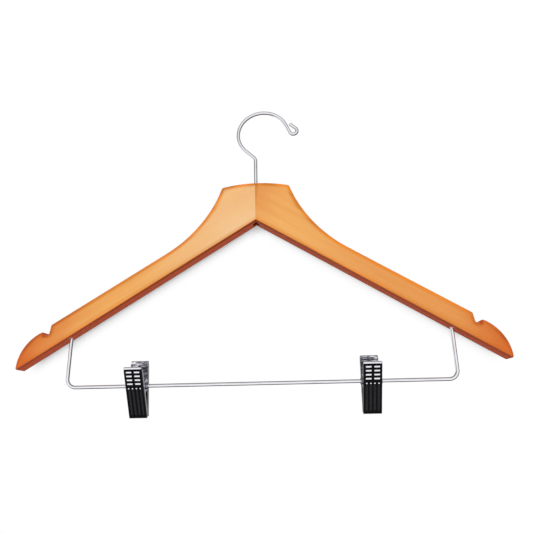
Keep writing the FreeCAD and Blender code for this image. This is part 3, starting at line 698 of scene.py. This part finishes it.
class HANGER_OT_arms(bpy.types.Operator):
    """Dress the two wooden arms in varnished wood with stained edges"""

    bl_idname = "hanger.arms"
    bl_label = "Wooden Arms"

    # Rounds of splitting at most, and border points and unevenness per width of the stained band.
    ROUNDS, POINTS_PER_RIM, UNEVEN_SHARE = 8, 6, 0.08
    # Parts of unit normals: of the seam's faces, of a lip's wall, within one rounding, and downwards.
    SEAM_FACING, LIP_LEAN, SAME_ROUNDING = 0.999, 0.35, 0.85
    DOWN_FROM, DOWN_OVER = 0.2, 0.3

    @staticmethod
    def outer_faces(bm, half):
        """The flat front and back faces of an arm."""
        return [face for face in bm.faces if all(half - abs(vertex.co.y) < WELD for vertex in face.verts)]

    def on_lip(self, place, normal, side, wood):
        """1 on the inner wall of a notch's lip, which is painted darker as shade, 0 elsewhere."""
        inward = -side * normal.x > self.LIP_LEAN * math.hypot(normal.x, normal.z) and normal.z > 0
        return float(inward and side * place.x > wood.notch_place)

    def find_borders(self, bm, half, side, wood):
        """Search tree of points on the outer faces' rounded borders, and each one's stain and lip shade.
        """
        outer = set(self.outer_faces(bm, half))
        points, stains = [], []
        for edge in {edge for face in outer for edge in face.edges}:
            rounds = [face for face in edge.link_faces
                      if face not in outer and abs(face.normal.x) < self.SEAM_FACING]
            if rounds:
                start, end = (vertex.co for vertex in edge.verts)
                count = math.ceil((end - start).length / wood.rim_width * self.POINTS_PER_RIM)
                points += [start.lerp(end, index / count) for index in range(count + 1)]
                normal = rounds[0].normal
                strength = 1.0 if normal.z > 0 else wood.lower_share
                stains += [(strength, self.on_lip(start, normal, side, wood))] * (count + 1)
        tree = KDTree(len(points))
        for index, point in enumerate(points):
            tree.insert(point, index)
        tree.balance()
        return tree, stains

    def refine(self, bm, half, tree, wood):
        """Splits the outer faces until the distance to their borders runs evenly along each edge."""
        uneven = wood.rim_width * self.UNEVEN_SHARE
        for _ in range(self.ROUNDS):
            bmesh.ops.triangulate(bm, faces=self.outer_faces(bm, half))
            outer = set(self.outer_faces(bm, half))
            split = []
            for edge in {edge for face in outer for edge in face.edges if set(edge.link_faces) <= outer}:
                start, end = (vertex.co for vertex in edge.verts)
                true = tree.find((start + end) / 2)[2]
                guess = (tree.find(start)[2] + tree.find(end)[2]) / 2
                if min(true, guess) < 2 * wood.rim_width and abs(true - guess) > uneven:
                    split.append(edge)
            if not split:
                return
            bmesh.ops.subdivide_edges(bm, edges=split, cuts=1)
        bmesh.ops.triangulate(bm, faces=self.outer_faces(bm, half))

    def mark_underside_stain_and_shade(self, bm, half):
        """Marks the corners of the faces that look down, softly where a rounding turns, for the
        undersides' stain and painted shade.
        """
        layer = bm.loops.layers.float.new("underside_stain_and_shade")
        outer = set(self.outer_faces(bm, half))
        for face in set(bm.faces) - outer:
            for loop in face.loops:
                around = [near.normal for near in loop.vert.link_faces
                          if near.normal.dot(face.normal) > self.SAME_ROUNDING]
                down = -sum(around, Vector()).normalized().z
                loop[layer] = min(1.0, max(0.0, (down - self.DOWN_FROM) / self.DOWN_OVER))

    def execute(self, context):
        wood = settings().wood
        grain = grain_group()
        for side, word in ((-1, "left"), (1, "right")):
            node = f"{word}_arm"
            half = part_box(node)[1].y
            bm = merged_copy(node)
            tree, stains = self.find_borders(bm, half, side, wood)
            self.refine(bm, half, tree, wood)
            far_layer, stain_layer, lip_shade_layer = (
                bm.verts.layers.float.new(name) for name in ("edge_far", "edge_stain", "notch_lip_shade"))
            bm.normal_update()
            self.mark_underside_stain_and_shade(bm, half)
            for vertex in bm.verts:
                if half - abs(vertex.co.y) < WELD:
                    _, index, vertex[far_layer] = tree.find(vertex.co)
                    vertex[stain_layer], vertex[lip_shade_layer] = stains[index]
                else:
                    vertex[stain_layer] = 1.0
                    vertex[lip_shade_layer] = self.on_lip(vertex.co, vertex.normal, side, wood)
            material = wood_material(f"{word} arm wood", side, grain)
            make_piece(f"{word}_wooden_arm", bm, "frame", material, "wood", node)
        return {"FINISHED"}


class HANGER_OT_hook(bpy.types.Operator):
    """Bend the plated hook: shank, neck, crook, the curl at its end and the peened head"""

    bl_idname = "hanger.hook"
    bl_label = "Swivel Hook"

    def execute(self, context):
        wire = settings().wire
        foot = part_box("hook")[0].z
        crook_rise = wire.shank_height + wire.crook_radius + wire.neck_rise
        inside = wire.crook_radius - wire.hook_wire / 2
        wood_top = -crook_rise - math.sqrt(inside ** 2 - wire.crook_offset ** 2)
        crook = Vector((wire.crook_offset, 0, wood_top + crook_rise))
        bend = Vector((-wire.shank_bend, 0, wood_top + wire.shank_height))
        span = crook - bend
        neck = math.atan2(span.z, span.x) + math.asin((wire.crook_radius + wire.shank_bend) / span.length)
        eye_far = wire.crook_radius + wire.eye_radius + wire.eye_stand
        eye = crook + Vector((math.cos(wire.eye_lift), 0, math.sin(wire.eye_lift))) * eye_far
        mouth = wire.eye_lift - math.asin((wire.crook_radius + wire.eye_radius) / eye_far)
        neck_run = math.sqrt(span.length ** 2 - (wire.crook_radius + wire.shank_bend) ** 2)
        mouth_run = math.sqrt(eye_far ** 2 - (wire.crook_radius + wire.eye_radius) ** 2)
        left, right = Vector((0, -1, 0)), Vector((0, 1, 0))
        tube = WireBender((0, 0, foot), (0, 0, 1), wire.head_radius, wire.sides)
        tube.straight(wire.head_height)
        tube.straight(0.0, swell=wire.hook_wire / 2 / wire.head_radius)
        tube.straight(wood_top + wire.shank_height - tube.place.z)
        tube.bend(bend, left, neck - math.pi / 2)
        tube.straight(neck_run)
        tube.bend(crook, right, neck - mouth)
        tube.straight(mouth_run)
        tube.bend(eye, left, wire.eye_heading - mouth)
        tube.straight(wire.eye_tail)
        bm = tube.close(wire.hook_wire / 2)
        make_piece("bent_hook", bm, "hook", finish_of("bright plating"), "hook_chrome", "hook")
        return {"FINISHED"}


class HANGER_OT_bar(bpy.types.Operator):
    """Bend the plated wire bar with its two legs"""

    bl_idname = "hanger.bar"
    bl_label = "Trouser Bar"

    def execute(self, context):
        wire = settings().wire
        low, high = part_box("trouser_bar")
        radius = wire.bar_wire / 2
        leg = high.x - radius
        bar = low.z + radius
        drop = high.z - bar - wire.bar_bend
        tube = WireBender((-leg, 0, high.z), (0, 0, -1), radius, wire.sides)
        tube.straight(drop)
        axis = Vector((0, -1, 0))
        tube.bend((-leg + wire.bar_bend, 0, bar + wire.bar_bend), axis, math.pi / 2)
        tube.straight(2 * (leg - wire.bar_bend))
        tube.bend((leg - wire.bar_bend, 0, bar + wire.bar_bend), axis, math.pi / 2)
        tube.straight(drop)
        bm = tube.close(radius)
        make_piece("bent_bar", bm, "frame", finish_of("bright plating"), "bar_chrome", "trouser_bar")
        return {"FINISHED"}


class HANGER_OT_washer(bpy.types.Operator):
    """Dress the washer that carries the wood on the hook's head"""

    bl_idname = "hanger.washer"
    bl_label = "Hook Washer"

    EDGE = 0.0001

    def execute(self, context):
        bm = softened_copy("hook_washer", self.EDGE)
        make_piece("pressed_washer", bm, "frame", finish_of("plain steel"), "washer_steel", "hook_washer")
        return {"FINISHED"}


class HANGER_OT_clip_plates(bpy.types.Operator):
    """Dress the pressed plates of the clips' jaws and the tubes that they turn on"""

    bl_idname = "hanger.clip_plates"
    bl_label = "Clip Plates and Tubes"

    # Least depth of a stamped hollow in metres, and how far inwards an inner face looks.
    HOLLOW, INWARD = 0.0006, -0.5

    def mark_inner_shade(self, bm, pivot):
        """Marks the faces on the pivot's side of a plate for dark patches of painted shade; its stamped
        hollows stay bright.
        """
        outward = facing_away(bm, pivot)
        inner = [face for face in bm.faces if face.normal.dot(outward) < self.INWARD]
        level = max(inner, key=lambda face: face.calc_area()).calc_center_median().dot(outward)
        layer = bm.loops.layers.float.new("inner")
        for face in inner:
            hollow = face.calc_center_median().dot(outward) - level > self.HOLLOW
            for loop in face.loops:
                loop[layer] = 0.0 if hollow else 1.0

    def execute(self, context):
        soft = settings().clip.plate_soft
        for jaw, pivot in jaws():
            bm = softened_copy(f"{jaw}_plate", soft)
            self.mark_inner_shade(bm, pivot)
            make_piece(f"{jaw}_pressing", bm, f"{jaw}_jaw", finish_of("clip plating"), "clip_chrome",
                       f"{jaw}_plate")
        for clip in CLIPS:
            bm = softened_copy(f"{clip}_tube", soft)
            make_piece(f"{clip}_runner", bm, f"{clip}_carriage", finish_of("tube plating"), "tube_steel",
                       f"{clip}_tube")
        return {"FINISHED"}


class HANGER_OT_clip_covers(bpy.types.Operator):
    """Dress the black moulded covers of the clips"""

    bl_idname = "hanger.clip_covers"
    bl_label = "Clip Covers"

    # Depths of the flutes in metres, and how far outwards their walls look at least.
    SHALLOW, DEEP, OUTWARD = 0.0001, 0.0009, 0.2

    def mark_flute_highlights(self, bm, pivot):
        """Marks the walls of the flutes that run down a cover's face, which get a painted highlight."""
        outward = facing_away(bm, pivot)
        face_level = max(vertex.co.dot(outward) for vertex in bm.verts)
        layer = bm.loops.layers.float.new("flute")
        for face in bm.faces:
            depth = face_level - face.calc_center_median().dot(outward)
            if self.SHALLOW < depth < self.DEEP and self.OUTWARD < face.normal.dot(outward):
                for loop in face.loops:
                    loop[layer] = 1.0

    def execute(self, context):
        for jaw, pivot in jaws():
            bm = softened_copy(f"{jaw}_cover", settings().clip.cover_soft)
            self.mark_flute_highlights(bm, pivot)
            make_piece(f"{jaw}_moulding", bm, f"{jaw}_jaw", finish_of("black moulding"), "clip_cover",
                       f"{jaw}_cover")
        return {"FINISHED"}


class HANGER_OT_grip_pads(bpy.types.Operator):
    """Dress the toothed rubber pads inside the jaws"""

    bl_idname = "hanger.grip_pads"
    bl_label = "Grip Pads"

    TOOTH_ANGLE = math.radians(20)

    def execute(self, context):
        for jaw, _ in jaws():
            bm = softened_copy(f"{jaw}_pad", settings().clip.pad_soft, self.TOOTH_ANGLE)
            make_piece(f"{jaw}_grip", bm, f"{jaw}_jaw", finish_of("grip rubber"), "grip_rubber",
                       f"{jaw}_pad")
        return {"FINISHED"}


class HANGER_OT_springs(bpy.types.Operator):
    """Wind the clips' torsion springs; the front leg goes with the front jaw"""

    bl_idname = "hanger.springs"
    bl_label = "Clip Springs"

    # The front leg is a little thinner than the coil, which it runs into for a part of a turn.
    SIDES, LEG_SHARE, LEG_HOLD = 20, 0.98, math.radians(45)

    def execute(self, context):
        wire, clip_set = settings().wire, settings().clip
        radius, thick = wire.spring_radius, wire.spring_wire / 2
        far = math.hypot(clip_set.leg_back, clip_set.leg_up)
        lean = math.atan2(clip_set.leg_up, -clip_set.leg_back)
        start = lean + math.acos(radius / far)
        turn = (3 * math.pi - 2 * start) % math.tau + math.tau * wire.spring_turns
        width = wire.spring_pitch * turn / math.tau
        hold = wire.spring_pitch * self.LEG_HOLD / math.tau
        run = math.sqrt(far ** 2 - radius ** 2)
        axis = Vector((1, 0, 0))
        touch = Vector((width / 2, radius * math.cos(start), radius * math.sin(start)))
        heading = Vector((0, -math.sin(start), math.cos(start)))
        for clip in CLIPS:
            place = Matrix.Translation(pivot_of(clip)) @ Matrix.Rotation(clip_set.tilt, 4, "X")

            coil = WireBender(touch, heading, thick, self.SIDES)
            coil.bend((0, 0, 0), axis, turn, Vector((-width, 0, 0)))
            coil.straight(run)
            bm = coil.close(thick)
            bmesh.ops.transform(bm, matrix=place, verts=bm.verts)
            make_piece(f"{clip}_coil", bm, f"{clip}_rear_jaw", finish_of("plain steel"), "spring_steel",
                       f"{clip}_spring")

            leg = WireBender(touch - heading * run, heading, thick * self.LEG_SHARE, self.SIDES)
            leg.straight(run)
            leg.bend((0, 0, 0), axis, self.LEG_HOLD, Vector((-hold, 0, 0)))
            bm = leg.close(thick)
            bmesh.ops.transform(bm, matrix=place, verts=bm.verts)
            make_piece(f"{clip}_front_leg", bm, f"{clip}_front_jaw", finish_of("plain steel"),
                       "spring_steel")
        return {"FINISHED"}


class HANGER_OT_stage(bpy.types.Operator):
    """Set the camera, the soft lights, the pale floor and the board behind the hanger"""

    bl_idname = "hanger.stage"
    bl_label = "Studio Stage"

    # Name, place, width and height, and watts of each lamp.
    LIGHTS = (("front key", (-0.55, -1.3, 0.55), (1.3, 0.9), 12),
              ("right fill", (1.2, -0.7, 0.1), (0.7, 1.1), 4),
              ("back fill", (0.3, 1.5, 0.5), (1.4, 1.0), 12))
    # Sky: limits of a direction's height, or of its way back, and the strengths there.
    SOFT_SKY = (-0.7, 0.6, 0.14, 0.62)
    MIRRORED_SKY = (-0.6, 0.8, 0.01, 0.34)
    BEHIND, BEHIND_TONE = (0.3, 0.9), 0.16
    # Patches that the plating mirrors: direction, cosines where each starts and is full, strength.
    PATCHES = (((0.08, 0.994, 0.067), 0.945, 0.97, 0.32),
               ((0.0, -0.966, -0.259), 0.3, 0.68, 1.0),
               ((-0.89, 0.43, -0.15), 0.75, 0.93, 1.0))
    FLOOR_GREYS = ((0.90, 0.90, 0.90), (0.93, 0.93, 0.93))
    FLOOR_FADE = (0.5, 0.98)
    # Soft shade on the board: the side that it comes from, its strength, and its limits in reaches.
    SHADE_SIDE = {"X": -0.22, "Y": -0.5, "Z": 0.82}
    SHADE_POWER, SHADE_GAIN, SHADE_MOST = 5.5, 30.0, 0.85
    SHADE_BELOW, SHADE_ABOVE = (2.4, 1.4), (0.2, 0.3)

    def add_sheet(self, name, size, place, turn, material):
        bm = bmesh.new()
        bmesh.ops.create_grid(bm, x_segments=1, y_segments=1, size=size / 2,
                              matrix=Matrix.Translation(place) @ turn)
        sheet = new_object(name, bm, material)
        return sheet

    def floor_material(self):
        """Pale grey that fades out to the floor's rim."""
        material, tree, shader, place = start_material("pale floor")
        cloud = ranged(tree, stretched_noise(tree, place, (1.5, 1.5, 1.5), 2.0), 0.3, 0.7, 0.0, 1.0)
        far = vector_math(tree, "LENGTH", vector_math(tree, "MULTIPLY", place, (1, 1, 0)))
        fade = [settings().stage.floor_size / 2 * share for share in self.FLOOR_FADE]
        fill(tree, shader, Base_Color=mixed(tree, cloud, *self.FLOOR_GREYS), Roughness=0.8,
             Alpha=ranged(tree, far, *fade, 1.0, 0.0))
        return material

    def board_material(self, reach):
        """Clear but for the soft shade that the arms lay on the board below their lower edges."""
        material, tree, shader, place = start_material("soft shade")
        tree.nodes.remove(shader)
        lamp_side = put(tree, "CombineXYZ", **self.SHADE_SIDE).outputs[0]
        shade = put(tree, "AmbientOcclusion", samples=16, Distance=reach, Normal=lamp_side)
        hidden = reckon(tree, "SUBTRACT", 1.0, shade.outputs["AO"])
        hidden = reckon(tree, "POWER", hidden, self.SHADE_POWER)
        along, _, up = parts_of(tree, place)
        fall = math.tan(settings().wood.slope)
        level = reckon(tree, "ADD", up, times(tree, reckon(tree, "ABSOLUTE", along, 0.0), fall))
        low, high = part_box("right_arm")
        apex = low.z + high.x * fall
        below = [apex - share * reach for share in self.SHADE_BELOW]
        above = [apex + share * reach for share in self.SHADE_ABOVE]
        near = times(tree, ranged(tree, level, *below, 0.0, self.SHADE_GAIN),
                     ranged(tree, level, *above, 1.0, 0.0))
        dark = reckon(tree, "MINIMUM", times(tree, hidden, near), self.SHADE_MOST)
        clear = put(tree, "BsdfTransparent", Color=reckon(tree, "SUBTRACT", 1.0, dark))
        fill(tree, tree.nodes["Material Output"], Surface=clear.outputs[0])
        return material

    def add_light(self, name, place, target, size, power):
        lamp = bpy.data.lights.new(name, "AREA")
        lamp.shape = "RECTANGLE"
        lamp.size, lamp.size_y = size
        lamp.energy = power
        light = bpy.data.objects.new(name, lamp)
        light.location = place
        light.rotation_euler = (target - Vector(place)).to_track_quat("-Z", "Y").to_euler()
        light.visible_glossy = False
        bpy.context.scene.collection.objects.link(light)

    def add_world(self):
        """White to the eye, soft from below; the plating mirrors bright patches and a dim one behind."""
        world = bpy.data.worlds.new("studio")
        world.use_nodes = True
        bpy.context.scene.world = world
        tree = world.node_tree
        tree.nodes.clear()
        way = put(tree, "TexCoord").outputs["Generated"]
        _, back, up = parts_of(tree, way)
        glow = ranged(tree, up, *self.SOFT_SKY)
        mirrored = ranged(tree, up, *self.MIRRORED_SKY, smooth=False)
        mirrored = switched(tree, ranged(tree, back, *self.BEHIND), mirrored, self.BEHIND_TONE)
        for middle, start, full, tone in self.PATCHES:
            facing = vector_math(tree, "DOT_PRODUCT", way, middle)
            mirrored = switched(tree, ranged(tree, facing, start, full), mirrored, tone)
        path = put(tree, "LightPath")
        for ray, tone in (("Is Glossy Ray", mirrored), ("Is Camera Ray", 1.0)):
            glow = switched(tree, path.outputs[ray], glow, tone)
        sky = put(tree, "Background", Color=(1, 1, 1), Strength=glow)
        put(tree, "OutputWorld", Surface=sky.outputs[0])

    def add_camera(self, stage):
        """Camera at the photograph's angle: yaw and pitch from looking along +Y, then roll."""
        yaw = Matrix.Rotation(stage.yaw, 3, "Z")
        pitch = Matrix.Rotation(stage.pitch, 3, "X")
        roll = Matrix.Rotation(stage.roll, 3, "Y")
        look = yaw @ pitch @ roll @ Matrix.Rotation(math.pi / 2, 3, "X")
        data = bpy.data.cameras.new("camera")
        data.lens = stage.lens
        data.sensor_width = 36.0
        camera = bpy.data.objects.new("camera", data)
        camera.matrix_world = Matrix.Translation(stage.place) @ look.to_4x4()
        bpy.context.scene.collection.objects.link(camera)
        bpy.context.scene.camera = camera

    def execute(self, context):
        stage = settings().stage
        low, high = CAD_BOX
        floor = self.add_sheet("floor", stage.floor_size, (0, 0, low.z - stage.floor_drop),
                               Matrix.Identity(4), self.floor_material())
        floor.visible_glossy = False
        upright = Matrix.Rotation(math.pi / 2, 4, "X")
        board = self.add_sheet("board", stage.board_size, (0, high.y + stage.board_gap, low.z), upright,
                               self.board_material(stage.shade_reach))
        for word in ("diffuse", "glossy", "transmission", "volume_scatter", "shadow"):
            setattr(board, f"visible_{word}", False)
        for name, place, size, power in self.LIGHTS:
            self.add_light(name, place, (low + high) / 2, size, power)
        self.add_world()
        self.add_camera(stage)
        bpy.context.scene.view_settings.view_transform = "Standard"
        return {"FINISHED"}


class HANGER_PT_panel(bpy.types.Panel):
    """Sidebar list of the hanger's pieces and settings"""

    bl_idname = "HANGER_PT_panel"
    bl_label = "Skirt Hanger"
    bl_space_type = "VIEW_3D"
    bl_region_type = "UI"
    bl_category = "Hanger"

    def draw(self, context):
        for operator in OPERATORS:
            self.layout.operator(operator.bl_idname)
        chosen = settings()
        for group in (chosen.wood, chosen.wire, chosen.clip, chosen.metal, chosen.stage):
            box = self.layout.box()
            for word in group.bl_rna.properties.keys():
                if word not in ("rna_type", "name"):
                    box.prop(group, word)


OPERATORS = (HANGER_OT_arms, HANGER_OT_hook, HANGER_OT_bar, HANGER_OT_washer, HANGER_OT_clip_plates,
             HANGER_OT_clip_covers, HANGER_OT_grip_pads, HANGER_OT_springs, HANGER_OT_stage)
CLASSES = (WoodSettings, WireSettings, ClipSettings, MetalSettings, StageSettings, HangerSettings,
           *OPERATORS, HANGER_PT_panel)


def register():
    for item in CLASSES:
        bpy.utils.register_class(item)
    bpy.types.Scene.hanger = PointerProperty(type=HangerSettings)


def unregister():
    del bpy.types.Scene.hanger
    for item in reversed(CLASSES):
        bpy.utils.unregister_class(item)


def main():
    register()
    for operator in OPERATORS:
        group, word = operator.bl_idname.split(".")
        getattr(getattr(bpy.ops, group), word)()


if __name__ == "__main__":
    main()
